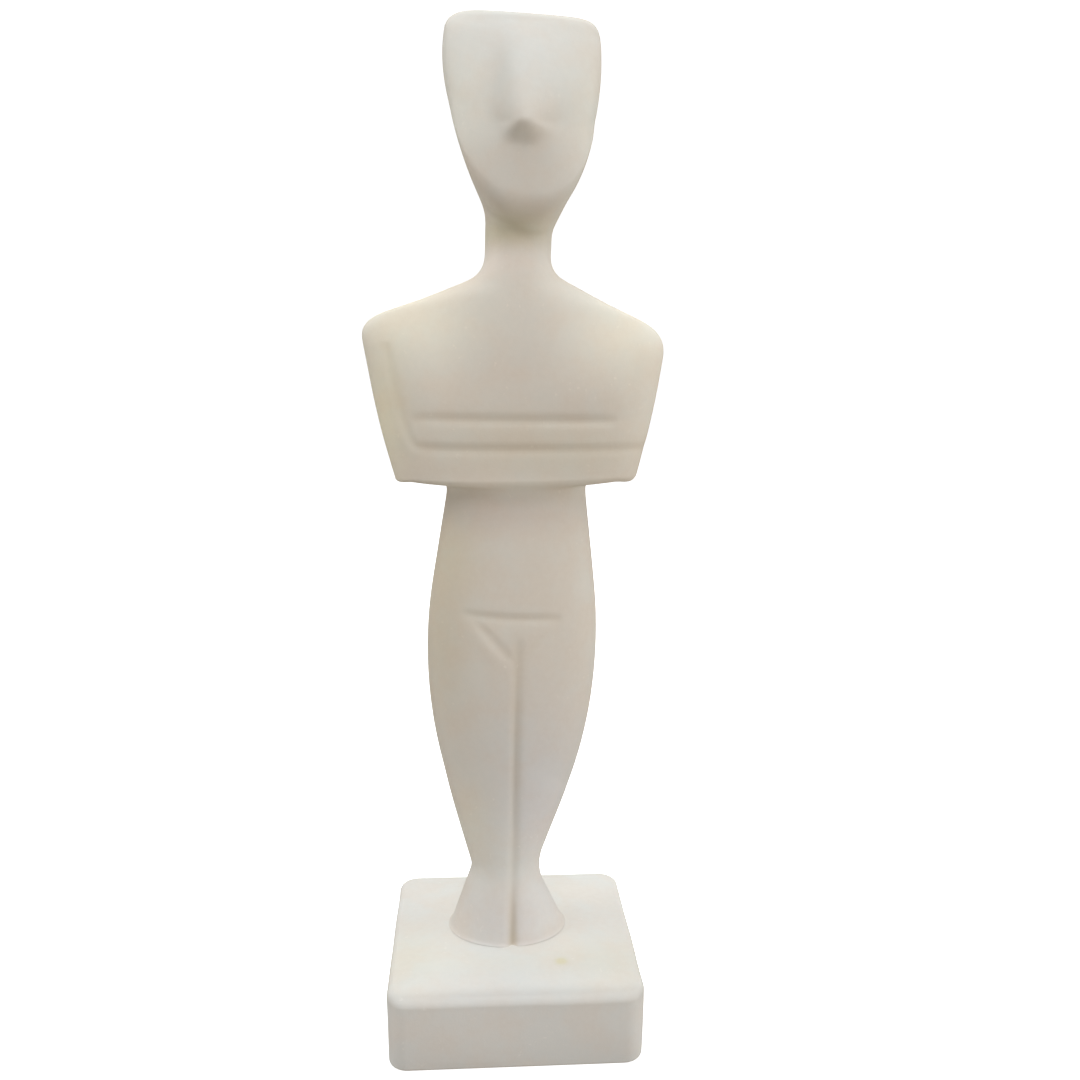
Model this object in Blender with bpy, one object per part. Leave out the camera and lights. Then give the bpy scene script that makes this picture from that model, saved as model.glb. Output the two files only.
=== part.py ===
"""A Cycladic figurine with folded arms on its square plinth, modelled at its real size.

Metres, +Z up. The figure faces -Y and the origin is the middle of the plinth's underside.
Two solids: the figurine, carved as one piece, and the plinth that it is glued to.
"""

import math

import bmesh
import bpy
import numpy as np
from mathutils import Vector
from mathutils.bvhtree import BVHTree

MM = 0.001

# Driving sizes
PLINTH_SIDE = 50.0 * MM
PLINTH_HEIGHT = 16.0 * MM
PLINTH_CORNER = 4.1 * MM
PLINTH_TOP_EDGE = 2.2 * MM
PLINTH_FOOT_EDGE = 0.8 * MM
PLINTH_DRAFT = 0.25 * MM
GLUE_LINE = 0.3 * MM
FIGURE_AXIS_Y = 2.4 * MM

# The figurine's outlines, from the sole to the crown. Each is a rail: at every station it has
# (offset, height above the sole, reach), in millimetres. A rail runs straight between stations and
# rounds each one off in a curve that begins and ends `reach` away from it.
STATIONS = (
    "sole", "ankle", "knee", "hip", "waist", "elbow", "forearm",
    "shoulder", "neck_root", "jaw", "cheek", "temple", "crown_edge", "crown",
)
# Offsets in X of the outline seen from the front
LEFT_RAIL = {
    "sole": (-13.3, 0.0, 0.0),
    "ankle": (-8.4, 13.5, 1.4),
    "knee": (-12.7, 29.0, 3.5),
    "hip": (-19.1, 56.3, 18.8),
    "waist": (-12.8, 94.3, 1.6),
    "elbow": (-22.9, 94.2, 1.7),
    "forearm": (-26.4, 107.0, 6.0),
    "shoulder": (-29.47, 124.5, 3.2),
    "neck_root": (-5.7, 134.0, 3.7),
    "jaw": (-5.4, 145.4, 2.2),
    "cheek": (-10.3, 155.7, 7.3),
    "temple": (-13.9, 172.4, 6.0),
    "crown_edge": (-12.5, 180.4, 2.6),
    "crown": (1.4, 180.2, 0.0),
}
RIGHT_RAIL = {
    "sole": (11.2, 0.0, 0.0),
    "ankle": (4.8, 13.0, 5.0),
    "knee": (10.4, 28.0, 2.2),
    "hip": (18.8, 51.6, 21.5),
    "waist": (14.1, 94.3, 1.6),
    "elbow": (23.9, 94.5, 2.5),
    "forearm": (27.2, 107.8, 6.0),
    "shoulder": (29.5, 122.7, 3.9),
    "neck_root": (6.9, 134.4, 3.0),
    "jaw": (7.2, 142.0, 1.4),
    "cheek": (13.3, 154.3, 5.9),
    "temple": (16.4, 168.1, 6.7),
    "crown_edge": (15.9, 179.6, 4.0),
    "crown": (1.4, 180.2, 0.0),
}
# Offsets in Y from the figurine's own axis, of the profile seen from the side
FRONT_RAIL = {
    "sole": (-10.4, 0.0, 0.0),
    "ankle": (-7.0, 13.6, 3.0),
    "knee": (-7.8, 29.0, 3.5),
    "hip": (-9.7, 58.0, 18.0),
    "waist": (-7.5, 91.8, 1.8),
    "elbow": (-9.8, 94.3, 1.2),
    "forearm": (-9.6, 107.0, 6.0),
    "shoulder": (-8.9, 124.0, 4.0),
    "neck_root": (-7.2, 134.6, 3.2),
    "jaw": (-5.7, 141.2, 1.2),
    "cheek": (-12.1, 144.7, 3.4),
    "temple": (-9.2, 168.0, 8.0),
    "crown_edge": (-3.6, 179.8, 2.0),
    "crown": (1.6, 180.2, 0.0),
}
BACK_RAIL = {
    "sole": (10.4, 0.0, 0.0),
    "ankle": (6.5, 13.6, 3.0),
    "knee": (7.3, 29.0, 3.5),
    "hip": (10.6, 57.0, 17.0),
    "waist": (6.3, 90.0, 3.0),
    "elbow": (6.8, 97.0, 4.0),
    "forearm": (7.8, 108.0, 6.0),
    "shoulder": (8.2, 124.0, 4.0),
    "neck_root": (6.5, 136.0, 3.6),
    "jaw": (6.6, 145.0, 3.0),
    "cheek": (8.8, 156.0, 6.0),
    "temple": (10.2, 170.0, 6.0),
    "crown_edge": (6.6, 179.0, 2.6),
    "crown": (1.6, 180.2, 0.0),
}
# How square each station's cross-section is: 2 is an ellipse, more is fuller at its corners
SQUARENESS = (2.0, 2.1, 2.1, 2.0, 2.2, 2.7, 2.6, 3.6, 2.2, 2.2, 2.8, 3.1, 3.2, 3.2)
# Rings on the straight run up to each station, and on its rounded corner
RUN_RINGS = (3, 4, 2, 5, 3, 4, 3, 5, 2, 3, 5, 4, 3)
CORNER_RINGS = (4, 3, 10, 3, 4, 3, 4, 4, 3, 5, 5, 5)
FRONT_COLUMNS = 24
BACK_COLUMNS = 13
CENTRE_CROWDING = 0.35
# The strokes follow a finer copy of the body, with every step split into this many
SURFACE_DETAIL = 4
# An edge that turns by more than this is shaded sharp
CREASE_DEGREES = 28

# The nose: a ridge that grows out of the forehead and stops short above the chin
NOSE_X = 1.4
NOSE_TOP = 178.0
NOSE_TIP = 159.6
NOSE_END = 154.9
NOSE_HEIGHT = 3.3
NOSE_SPREAD_TOP = 4.6
NOSE_SPREAD_TIP = 2.4

# The upper chest leans back on both sides of the breastbone: from LEAN_FOOT up over LEAN_RISE its
# front gets thinner by a share that grows to LEAN_SHARE, and which runs out again up to LEAN_TOP
LEAN_FOOT = 109.0
LEAN_RISE = 20.0
LEAN_TOP = 142.0
LEAN_FADE = 14.0
LEAN_BREASTBONE = -0.2
LEAN_INNER = 2.5
LEAN_WIDTH = 17.0
LEAN_SHARE = 0.38

# The lower face stands upright: towards the chin it is set back from the face's own slope
MUZZLE_X = 1.5
MUZZLE_WIDTH = 10.0
MUZZLE_TOP = 158.0
MUZZLE_DROP = 15.0
MUZZLE_DEPTH = 1.2
THROAT_TOP = 143.5
THROAT_DROP = 2.5

# Lines cut with a round-nosed gouge: X and height above the sole along the stroke, in millimetres,
# then the depth at each of its ends and in its middle
GOUGE_RADIUS = 2.0 * MM
STROKE_STEP = 2.6 * MM
FRONT_STROKES = {
    "upper_forearm_line": ([(-19.6, 107.0), (0.0, 106.8), (20.2, 106.7)], (-0.2, 0.5, -0.2)),
    "lower_forearm_line": (
        [
            (-23.1, 120.6), (-22.3, 114.7), (-20.8, 108.8), (-19.2, 103.8),
            (-16.4, 101.7), (0.0, 101.4), (16.0, 101.4), (27.5, 101.3),
        ],
        (-0.2, 0.5, 0.5),
    ),
    "upper_arm_line": ([(23.6, 120.6), (21.9, 115.0), (20.0, 108.0)], (-0.2, 0.3, -0.2)),
    "pubic_line": ([(-10.4, 69.3), (0.0, 68.4), (9.4, 68.0)], (-0.2, 0.5, -0.2)),
    "right_groin_line": ([(-9.4, 69.0), (0.4, 59.8)], (0.15, 0.45, 0.3)),
    "left_groin_line": ([(8.9, 67.8), (1.2, 60.0)], (-0.2, 0.25, 0.2)),
    "leg_cleft": ([(0.9, 64.8), (0.6, 48.0), (0.5, 30.8), (0.2, 16.8), (0.0, -2.0)], (-0.2, 0.55, 0.8)),
}
BACK_STROKES = {
    "spine_line": ([(0.6, 128.0), (0.3, 98.0), (0.0, 74.0)], (-0.2, 0.4, -0.2)),
    "back_leg_cleft": ([(0.0, 62.0), (-0.2, 30.0), (-0.6, -2.0)], (-0.2, 0.5, 0.6)),
}

# One white cast stone for both, matt, a shade warmer on the figurine
FIGURINE_COLOUR = (0.72, 0.68, 0.60, 1.0)
PLINTH_COLOUR = (0.75, 0.73, 0.68, 1.0)
STONE_ROUGHNESS = 0.72


def clear_scene():
    for obj in list(bpy.data.objects):
        bpy.data.objects.remove(obj, do_unlink=True)


def collection_named(name):
    made = bpy.data.collections.new(name)
    bpy.context.scene.collection.children.link(made)
    return made


def stone(name, colour):
    material = bpy.data.materials.new(name)
    material.use_nodes = True
    shader = material.node_tree.nodes["Principled BSDF"]
    shader.inputs["Base Color"].default_value = colour
    shader.inputs["Roughness"].default_value = STONE_ROUGHNESS
    shader.inputs["Metallic"].default_value = 0.0
    material.diffuse_color = colour
    return material


def step_towards(start, goal, distance):
    """The point that lies this far from start on the way to goal."""
    way = goal - start
    return start + way * (distance / np.linalg.norm(way))


def rail_points(rail, detail):
    """The rail as an array of (offset, height), in metres, with the same rings on every rail."""
    corners = [np.array(rail[name][:2]) * MM for name in STATIONS]
    reaches = [rail[name][2] * MM for name in STATIONS]
    path = [corners[0][None]]
    for k in range(1, len(corners)):
        run_end = step_towards(corners[k], corners[k - 1], reaches[k])
        share = np.linspace(0, 1, RUN_RINGS[k - 1] * detail + 1)[1:, None]
        path.append(path[-1][-1] * (1 - share) + run_end * share)
        if k == len(corners) - 1:
            break
        curve_end = step_towards(corners[k], corners[k + 1], reaches[k])
        share = np.linspace(0, 1, CORNER_RINGS[k - 1] * detail + 1)[1:, None]
        path.append(
            run_end * (1 - share) ** 2 + corners[k] * 2 * share * (1 - share) + curve_end * share**2
        )
    return np.concatenate(path)


def ring_squareness(detail):
    """The squareness of every ring: it runs straight from the middle of one station's curve to the next."""
    count, middles = 0, [0]
    for run, corner in zip(RUN_RINGS, CORNER_RINGS):
        middles.append(count + run + corner / 2)
        count += run + corner
    count += RUN_RINGS[-1]
    rings = np.arange(count * detail + 1) / detail
    return np.interp(rings, [*middles, count], SQUARENESS)[:, None]


def column_angles(detail):
    """Angles round the figure, anticlockwise from +X: the front's columns crowd towards its middle."""
    back = np.linspace(0, math.pi, BACK_COLUMNS * detail, endpoint=False)
    even = np.linspace(-1, 1, FRONT_COLUMNS * detail, endpoint=False)
    crowded = even * (1 - CENTRE_CROWDING) + even**3 * CENTRE_CROWDING
    front = math.pi * 1.5 + crowded * math.pi / 2
    return np.concatenate([back, front])[None, :]


def smooth_step(share):
    share = np.clip(share, 0, 1)
    return share * share * (3 - 2 * share)


def nose(x, z):
    """How far the nose stands out of the face, in millimetres: a bell-shaped ridge from brow to tip."""
    growth = np.clip((NOSE_TOP - z) / (NOSE_TOP - NOSE_TIP), 0, 1)
    underside = smooth_step((z - NOSE_END) / (NOSE_TIP - NOSE_END))
    spread = NOSE_SPREAD_TOP * (1 - growth) + NOSE_SPREAD_TIP * growth
    return NOSE_HEIGHT * growth * underside * np.exp(-(((x - NOSE_X) / spread) ** 2))


def chest_lean(x, z):
    """The share by which the upper chest is thinner.

    It grows with the square of the height, runs out at the neck, and takes a smooth step outwards.
    """
    aside = np.abs(x - LEAN_BREASTBONE) - LEAN_INNER
    height = np.clip((z - LEAN_FOOT) / LEAN_RISE, 0, 1) ** 2 * smooth_step((LEAN_TOP - z) / LEAN_FADE)
    return LEAN_SHARE * height * smooth_step(aside / LEAN_WIDTH)


def muzzle(x, z):
    """How far the lower face is set back, in millimetres: a smooth step that fades under the chin."""
    above_throat = smooth_step((z - THROAT_TOP + THROAT_DROP) / THROAT_DROP)
    height = smooth_step((MUZZLE_TOP - z) / MUZZLE_DROP) * above_throat
    return MUZZLE_DEPTH * height * np.exp(-(((x - MUZZLE_X) / MUZZLE_WIDTH) ** 2))


def body_grid(detail=1):
    """The figurine's surface as (rings, columns, 3): each ring is a superellipse on the four rails.

    detail splits every step between rings, and between columns, into so many finer ones.
    """
    rails = (LEFT_RAIL, RIGHT_RAIL, FRONT_RAIL, BACK_RAIL)
    left, right, front, back = (rail_points(rail, detail) for rail in rails)
    square = ring_squareness(detail)
    angle = column_angles(detail)
    across = np.cos(angle)
    fullness = (1 - np.abs(across) ** square) ** (1 / square)
    middle, half = (left + right) / 2, (right - left) / 2
    x = middle[:, :1] + half[:, :1] * across
    side_z = middle[:, 1:] + half[:, 1:] * across
    is_front = np.sin(angle) < 0
    rail_y = np.where(is_front, front[:, :1], back[:, :1])
    rail_z = np.where(is_front, front[:, 1:], back[:, 1:])
    side_y = (front[:, :1] + back[:, :1]) / 2
    z = side_z + (rail_z - middle[:, 1:]) * fullness**2
    x_mm, z_mm = x / MM, z / MM
    y = side_y + (rail_y - side_y) * fullness * np.where(is_front, 1 - chest_lean(x_mm, z_mm), 1)
    y = y + np.where(is_front, (muzzle(x_mm, z_mm) - nose(x_mm, z_mm)) * MM, 0)
    return np.stack([x, y, z], axis=-1)


def figurine_mesh(grid):
    """The grid closed into one body: a flat sole below, and the crown gathered to a point."""
    rings, columns = grid.shape[:2]
    bm = bmesh.new()
    verts = [[bm.verts.new(point) for point in ring] for ring in grid[:-1]]
    crown = bm.verts.new(grid[-1].mean(axis=0))
    for lower, upper in zip(verts, verts[1:]):
        for j in range(columns):
            k = (j + 1) % columns
            bm.faces.new((lower[j], lower[k], upper[k], upper[j]))
    for j in range(columns):
        bm.faces.new((verts[-1][j], verts[-1][(j + 1) % columns], crown))
    bm.faces.new(verts[0][::-1])
    mesh = bpy.data.meshes.new("figurine")
    bm.to_mesh(mesh)
    bm.free()
    return mesh


def stroke_points(corners, depths, tree, side):
    """The gouge's centre along one stroke, so that it bites to the depth asked, eased along its length.

    side is -1 for the front of the figurine and +1 for its back.
    """
    corners = np.array(corners) * MM
    legs = np.linalg.norm(np.diff(corners, axis=0), axis=1)
    at = np.concatenate([[0], np.cumsum(legs)])
    share = np.linspace(0, 1, max(4, round(at[-1] / STROKE_STEP)))
    depth = np.interp(share, (0, 0.12, 0.88, 1), (depths[0], depths[1], depths[1], depths[2])) * MM
    far = 2 * PLINTH_SIDE
    points = []
    for s, bite in zip(share, depth):
        x, z = (np.interp(s * at[-1], at, corners[:, i]) for i in (0, 1))
        found = tree.ray_cast(Vector((x, side * far, max(z, 0.2 * MM))), Vector((0, -side, 0)))
        if found[0] is None:
            points.append(points[-1] + (points[-1] - points[-2]))
            continue
        surface = Vector((x, found[0].y, z))
        points.append(surface + found[1] * (GOUGE_RADIUS - bite))
    return points


def gouge(name, points, home):
    """A round bar along the points, as a mesh that can be subtracted."""
    curve = bpy.data.curves.new(name, "CURVE")
    curve.dimensions = "3D"
    curve.bevel_depth = GOUGE_RADIUS
    curve.bevel_resolution = 4
    curve.use_fill_caps = True
    spline = curve.splines.new("POLY")
    spline.points.add(len(points) - 1)
    for at, point in zip(spline.points, points):
        at.co = (*point, 1)
    bar = bpy.data.objects.new(name + "_curve", curve)
    home.objects.link(bar)
    graph = bpy.context.evaluated_depsgraph_get()
    mesh = bpy.data.meshes.new_from_object(bar.evaluated_get(graph))
    bpy.data.objects.remove(bar)
    bm = bmesh.new()
    bm.from_mesh(mesh)
    bmesh.ops.remove_doubles(bm, verts=bm.verts, dist=0.001 * MM)
    bmesh.ops.recalc_face_normals(bm, faces=bm.faces)
    bm.to_mesh(mesh)
    bm.free()
    cutter = bpy.data.objects.new(name, mesh)
    cutter.hide_render = True
    cutter.display_type = "WIRE"
    home.objects.link(cutter)
    return cutter


def make_figurine(home, cutters, material):
    """The carved body: the loft, then each gouge stroke taken out of it in turn."""
    smooth = figurine_mesh(body_grid(SURFACE_DETAIL))
    tree = BVHTree.FromPolygons([v.co for v in smooth.vertices], [p.vertices for p in smooth.polygons])
    bpy.data.meshes.remove(smooth)
    mesh = figurine_mesh(body_grid())
    mesh.materials.append(material)
    figurine = bpy.data.objects.new("figurine", mesh)
    figurine.location = (0, FIGURE_AXIS_Y, PLINTH_HEIGHT + GLUE_LINE)
    home.objects.link(figurine)
    for side, strokes in ((-1, FRONT_STROKES), (1, BACK_STROKES)):
        for name, (corners, depths) in strokes.items():
            cutter = gouge(name, stroke_points(corners, depths, tree, side), cutters)
            cutter.location = figurine.location
            carve = figurine.modifiers.new(name, "BOOLEAN")
            carve.operation = "DIFFERENCE"
            carve.solver = "EXACT"
            carve.object = cutter
    graph = bpy.context.evaluated_depsgraph_get()
    carved = bpy.data.meshes.new_from_object(figurine.evaluated_get(graph))
    figurine.modifiers.clear()
    figurine.data = carved
    bpy.data.meshes.remove(mesh)
    carved.name = "figurine"
    carved.shade_smooth()
    carved.set_sharp_from_angle(angle=math.radians(CREASE_DEGREES))
    figurine.modifiers.new("even shading", "WEIGHTED_NORMAL").keep_sharp = True
    return figurine


def make_plinth(home, material):
    """A square block with rounded corners, a soft top edge, drafted walls and a tight foot edge."""
    bm = bmesh.new()
    bmesh.ops.create_cube(bm, size=1)
    bmesh.ops.scale(bm, vec=(PLINTH_SIDE, PLINTH_SIDE, PLINTH_HEIGHT), verts=bm.verts)
    upright = [e for e in bm.edges if abs(e.verts[0].co.z - e.verts[1].co.z) > MM]
    bmesh.ops.bevel(
        bm, geom=upright, offset=PLINTH_CORNER, segments=6, profile=0.5, affect="EDGES"
    )
    for z, width, segments in ((0.5, PLINTH_TOP_EDGE, 5), (-0.5, PLINTH_FOOT_EDGE, 3)):
        level = z * PLINTH_HEIGHT
        rim = [e for e in bm.edges if all(abs(v.co.z - level) < 0.01 * MM for v in e.verts)]
        bmesh.ops.bevel(bm, geom=rim, offset=width, segments=segments, profile=0.5, affect="EDGES")
    wall_top = PLINTH_HEIGHT / 2 - PLINTH_TOP_EDGE
    for vert in bm.verts:
        drop = max(0, wall_top - vert.co.z) / PLINTH_HEIGHT
        vert.co.xy *= 1 - drop * PLINTH_DRAFT / (PLINTH_SIDE / 2)
    mesh = bpy.data.meshes.new("plinth")
    bm.to_mesh(mesh)
    bm.free()
    mesh.materials.append(material)
    mesh.shade_smooth()
    mesh.set_sharp_from_angle(angle=math.radians(CREASE_DEGREES))
    plinth = bpy.data.objects.new("plinth", mesh)
    plinth.location = (0, 0, PLINTH_HEIGHT / 2)
    home.objects.link(plinth)
    return plinth


def main():
    clear_scene()
    home = collection_named("cycladic_figurine")
    cutters = collection_named("gouge_strokes")
    make_plinth(home, stone("plinth_marble", PLINTH_COLOUR))
    make_figurine(home, cutters, stone("figurine_marble", FIGURINE_COLOUR))


main()
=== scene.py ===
"""The finish of a Cycladic folded-arm figurine in white cast marble, on its square plinth.

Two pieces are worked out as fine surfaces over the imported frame: the figurine, with its soft carved
lines and low modelling, and the plinth, with its eased edges and slightly uneven walls. Both take a
matt, faintly mottled marble. A plain floor, soft lights and the camera make up the stage.
"""

import math

import bpy
import numpy as np
from bpy.props import FloatProperty, FloatVectorProperty, PointerProperty
from mathutils import Matrix, Vector


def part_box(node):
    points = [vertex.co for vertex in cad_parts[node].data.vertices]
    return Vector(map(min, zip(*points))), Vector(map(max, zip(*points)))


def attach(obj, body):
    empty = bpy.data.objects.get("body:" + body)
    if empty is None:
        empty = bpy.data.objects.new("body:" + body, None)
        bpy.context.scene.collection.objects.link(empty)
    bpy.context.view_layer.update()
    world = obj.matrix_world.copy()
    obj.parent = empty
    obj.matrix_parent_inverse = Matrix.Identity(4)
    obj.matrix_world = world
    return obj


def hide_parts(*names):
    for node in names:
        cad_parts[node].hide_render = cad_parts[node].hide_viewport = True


bl_info = {
    "name": "Cycladic figurine",
    "version": (1, 0, 0),
    "blender": (4, 5, 0),
    "location": "3D View > Sidebar > Cycladic",
    "description": "Builds the finished surfaces of a cast marble Cycladic figurine and its plinth",
    "category": "Object",
}

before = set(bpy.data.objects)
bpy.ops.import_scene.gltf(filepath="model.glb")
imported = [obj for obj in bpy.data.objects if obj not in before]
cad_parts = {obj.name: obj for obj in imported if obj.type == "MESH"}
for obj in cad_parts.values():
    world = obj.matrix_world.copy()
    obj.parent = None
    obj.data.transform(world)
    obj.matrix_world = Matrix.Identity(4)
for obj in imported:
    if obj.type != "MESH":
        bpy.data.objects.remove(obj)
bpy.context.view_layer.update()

MM = 0.001
BODY = "root"

# ------------------------------------------------------------
# The figurine's form, in millimetres from its own axis and above its sole
# ------------------------------------------------------------

# Four rails run up the figurine: its left and right outlines, offset in X, and its front and back
# profiles, offset in Y. At each station a rail has (offset, height, reach): it runs straight from
# station to station and rounds each one off in a curve that begins and ends `reach` away from it.
RAILS = {
    "sole": ((-13.1, 0.0, 0.0), (11.0, 0.0, 0.0), (-10.3, 0.0, 0.0), (10.2, 0.0, 0.0)),
    "ankle": ((-8.4, 13.5, 1.4), (4.8, 13.0, 5.0), (-7.0, 13.6, 3.0), (6.5, 13.6, 3.0)),
    "knee": ((-12.7, 29.0, 3.5), (10.4, 28.0, 2.2), (-7.8, 29.0, 3.5), (7.3, 29.0, 3.5)),
    "hip": ((-19.1, 56.3, 18.8), (18.8, 51.6, 21.5), (-9.7, 58.0, 18.0), (10.6, 57.0, 17.0)),
    "waist": ((-12.8, 94.6, 2.4), (14.1, 94.6, 2.2), (-7.5, 91.6, 1.9), (6.3, 90.0, 3.0)),
    "elbow": ((-22.9, 94.5, 1.0), (23.9, 94.7, 1.8), (-9.8, 94.3, 0.8), (6.8, 97.0, 4.0)),
    "forearm": ((-26.4, 107.0, 6.0), (27.2, 107.8, 6.0), (-9.6, 107.0, 6.0), (7.8, 108.0, 6.0)),
    "shoulder": ((-29.47, 124.5, 3.2), (29.5, 122.7, 3.9), (-8.9, 124.0, 4.0), (8.2, 124.0, 4.0)),
    "neck_root": ((-5.7, 134.0, 3.7), (6.9, 134.4, 3.0), (-7.2, 134.6, 3.2), (6.5, 136.0, 3.6)),
    "jaw": ((-5.4, 145.4, 2.2), (7.2, 142.0, 1.4), (-5.7, 141.2, 1.2), (6.6, 145.0, 3.0)),
    "cheek": ((-10.3, 155.7, 7.3), (13.3, 154.3, 5.9), (-12.1, 144.7, 3.4), (8.8, 156.0, 6.0)),
    "temple": ((-13.9, 172.4, 6.0), (16.4, 168.1, 6.7), (-9.2, 168.0, 8.0), (10.2, 170.0, 6.0)),
    "crown_edge": ((-12.5, 180.4, 2.6), (15.9, 179.6, 4.0), (-3.6, 179.8, 2.0), (6.6, 179.0, 2.6)),
    "crown": ((1.4, 180.2, 0.0), (1.4, 180.2, 0.0), (1.6, 180.2, 0.0), (1.6, 180.2, 0.0)),
}
# How square each station's cross-section is: 2 is an ellipse, more is fuller at its corners
SQUARENESS = (2.0, 2.1, 2.1, 2.0, 2.2, 2.7, 2.6, 3.6, 2.2, 2.2, 2.8, 3.1, 3.2, 3.2)

# The surface's rings and columns: the step between rings, the blurs along the rails and along their
# squareness in rings, the columns of each half, and how far the front's crowd towards its middle
RING_STEP = 0.56
RAIL_BLUR = 1.3
SQUARENESS_BLUR = 4.9
FRONT_COLUMNS = 138
BACK_COLUMNS = 50
CENTRE_CROWDING = 0.35

# Carved lines: the width as a share of the line width, the slow share, then the corners as (x, height,
# depth). Down and to the left of a line the slow share of its depth runs out over a bell SLOW_WIDTH
# times as wide. A negative depth is a raised edge
SLOW_WIDTH = 4.0
FRONT_LINES = {
    "upper forearm": (0.9, 0.4, (
        (-19.8, 107.0, 0.0), (-18.0, 107.0, 0.33), (0.0, 106.8, 0.36), (17.5, 106.7, 0.36),
        (19.8, 106.7, 0.0),
    )),
    "lower forearm": (0.9, 0.4, (
        (-24.3, 121.2, 0.0), (-24.0, 119.6, 0.34), (-23.0, 114.7, 0.38), (-21.7, 108.8, 0.36),
        (-20.7, 105.0, 0.3), (-19.4, 102.2, 0.26), (-18.4, 101.5, 0.3), (-11.0, 101.35, 0.35),
        (0.0, 101.3, 0.35), (16.0, 101.4, 0.32), (28.5, 101.3, 0.28),
    )),
    "left arm's edge": (1.5, 0.0, (
        (-25.9, 121.5, 0.0), (-25.3, 119.5, -0.18), (-24.5, 115.6, -0.26), (-23.2, 108.9, -0.26),
        (-21.8, 104.2, -0.24), (-20.3, 101.3, -0.16), (-17.5, 100.2, 0.0),
    )),
    "right upper arm": (1.2, 0.0, (
        (23.6, 121.0, 0.0), (22.6, 117.0, 0.14), (22.0, 110.0, 0.04), (21.9, 108.0, 0.0),
    )),
    "pubic": (0.85, 0.4, (
        (-10.6, 69.4, 0.0), (-9.0, 69.1, 0.26), (0.0, 68.4, 0.34), (7.8, 68.2, 0.31), (9.8, 67.8, 0.0),
    )),
    "left groin": (1.2, 0.0, ((-9.8, 69.6, 0.0), (-7.4, 67.7, 0.2), (-2.2, 61.7, 0.24), (-0.2, 60.0, 0.15))),
    "left thigh's edge": (1.8, 0.0, (
        (-11.6, 69.8, 0.0), (-9.8, 68.0, -0.12), (-4.2, 61.2, -0.14), (-2.2, 58.8, 0.0),
    )),
    "right groin": (1.2, 0.0, ((8.9, 67.8, 0.02), (6.0, 65.0, 0.12), (1.2, 60.0, 0.14))),
    "fork": (1.6, 0.0, ((0.9, 65.5, 0.0), (0.8, 62.0, 0.15), (0.6, 57.5, 0.1), (0.5, 53.0, 0.0))),
}
# The line between the legs deepens towards the feet
CLEFT = (1.0, 0.0, (
    (0.8, 66.0, 0.0), (0.6, 60.0, 0.3), (0.35, 48.0, 0.5), (0.2, 34.0, 0.56), (0.0, 20.0, 0.42),
    (-0.1, 12.0, 0.36), (-0.2, 7.0, 0.7), (-0.3, -2.0, 0.8),
))
BACK_LINES = {
    "spine": (1.0, 0.0, ((0.6, 128.0, 0.0), (0.3, 98.0, 0.4), (0.0, 74.0, 0.0))),
    "back leg": (1.0, 0.0, ((0.0, 62.0, 0.0), (-0.1, 52.0, 0.5), (-0.2, 30.0, 0.5), (-0.6, -2.0, 0.6))),
}

# The nose: a ridge that grows out of the forehead and stops short above the chin. Its spreads are the
# left flank's. The right flank's is a multiple of them, less at the tip, and less again under it
NOSE_X = 1.4
NOSE_TOP = 178.0
NOSE_TIP = 159.6
NOSE_END = 155.7
NOSE_HEIGHT = 3.2
NOSE_SPREAD_TOP = 5.2
NOSE_SPREAD_TIP = 3.0
NOSE_RIGHT = 1.35
NOSE_RIGHT_TIP = 1.08
NOSE_RIGHT_UNDER = 0.82
NOSE_ARCH = 0.03
NOSE_FIRMNESS = 2.6
NOSE_RIGHT_FIRMNESS = 2.1
NOSE_GROWTH = 0.85

# The upper chest leans back on both sides of the breastbone: from LEAN_FOOT up over LEAN_RISE its
# front gets thinner by a share that grows to LEAN_SHARE, and runs out again over LEAN_FADE to LEAN_TOP
LEAN_FOOT = 109.0
LEAN_RISE = 20.0
LEAN_TOP = 142.0
LEAN_FADE = 14.0
LEAN_BREASTBONE = -0.2
LEAN_INNER = 2.5
LEAN_WIDTH = 17.0
LEAN_SHARE = 0.38

# The front rounds off softly from the chest into the shoulders' slope, and so does the left corner of
# the crown, at this x and height: there the surface is blurred over ROUNDING_BLUR rings
SHOULDER_HEIGHT = 127.0
SHOULDER_SPREAD = 9.0
CROWN_CORNER = (-12.0, 178.5)
CROWN_SPREAD = 3.4
ROUNDING_BLUR = 6.6

# The rim under the forearms is lifted towards the middle
RIM_HEIGHT = 94.3
RIM_SPREAD = 2.0
RIM_LIFT = 0.6
RIM_END = 23.2
RIM_RUN = 4.0

# The sole flares into the glue on the plinth
FILLET_HEIGHT = 0.9
FILLET_REACH = 0.4
FILLET_RINGS = 4

# The lower face stands upright: towards the chin it is set back from the face's own slope
MUZZLE_X = 1.5
MUZZLE_WIDTH = 10.0
MUZZLE_TOP = 158.0
MUZZLE_DROP = 15.0
MUZZLE_DEPTH = 1.2
THROAT_TOP = 143.5
THROAT_DROP = 2.5

# Low swellings and hollows of the front: x, height, spread in x, spread in height, rise
FRONT_SWELLS = {
    "forearm band": (0.0, 104.2, 26.0, 2.0, 0.04),
    "lower arm band": (0.0, 98.2, 26.0, 2.2, 0.05),
    "belly": (0.5, 80.0, 9.0, 7.0, 0.15),
}

# The forearms stand proud: the surface sinks down to a carved line and steps out again below it.
# Each has the line's height, how far above it the sinking starts, the depth, the middle and spread in x
FRONT_STEPS = {
    "chest over the forearms": (106.9, 6.5, 0.06, 0.0, 15.0),
    "hollow of the breast": (106.9, 9.5, 0.12, 13.0, 9.0),
    "forearm over the hand": (101.5, 4.0, 0.03, 0.0, 17.0),
}
STEP_HEIGHT = 1.3

# The hand wobble's wave and the seed of its random directions
WANDER_WAVE = 26.0
WANDER_SEED = 3

# ------------------------------------------------------------
# The plinth's form, in millimetres
# ------------------------------------------------------------

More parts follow.
